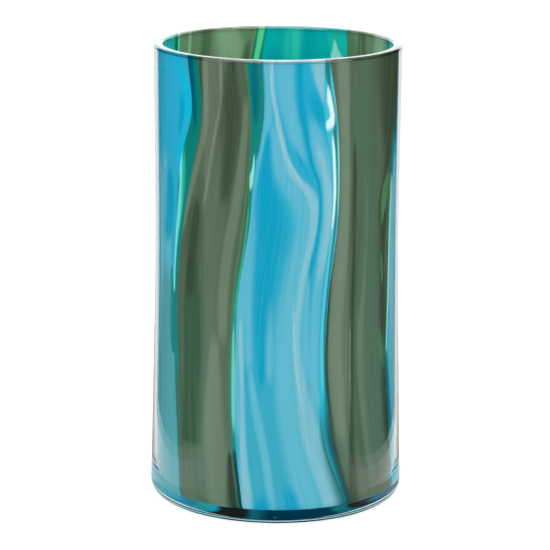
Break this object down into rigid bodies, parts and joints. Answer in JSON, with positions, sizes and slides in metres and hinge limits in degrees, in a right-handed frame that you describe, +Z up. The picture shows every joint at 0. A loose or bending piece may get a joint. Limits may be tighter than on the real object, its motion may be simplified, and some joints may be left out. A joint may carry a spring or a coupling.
{
  "type": "vase",
  "caption": "Straight cylindrical cased art glass vase: a clear casing with a thick rounded foot over twisted blue and olive ribbons, bright seam threads, an aqua lining and a clear lip.",
  "frame": {"origin": "middle of the foot, on the surface that the vase stands on", "axes": "+Z up along the vase to its mouth, -Y towards the front"},
  "size_m": [0.1548, 0.155, 0.28],
  "materials": {
    "clear_glass": "fire-polished clear",
    "aqua_glass": "fire-polished transparent aqua",
    "blue_glass": "streaked blue with milky trails",
    "olive_glass": "smoky olive",
    "mint_glass": "bright mint green",
    "sky_glass": "opal pale cyan",
    "deep_blue_glass": "deep blue"
  },
  "bodies": {
    "root": {"clear_casing": "clear_glass", "lip_bead": "clear_glass", "aqua_lining": "aqua_glass", "left_olive_ribbon": "olive_glass", "right_olive_ribbon": "olive_glass", "back_right_olive_ribbon": "olive_glass", "back_left_olive_ribbon": "olive_glass", "left_blue_ribbon": "blue_glass", "centre_blue_ribbon": "blue_glass", "right_blue_ribbon": "blue_glass", "back_blue_ribbon": "blue_glass", "dark_blue_thread": "deep_blue_glass", "green_thread": "mint_glass", "leaf_green_thread": "mint_glass", "right_mint_thread": "mint_glass", "back_green_thread": "mint_glass", "left_mint_thread": "mint_glass", "bright_cyan_thread": "sky_glass", "milk_mint_thread": "sky_glass"}
  },
  "joints": []
}
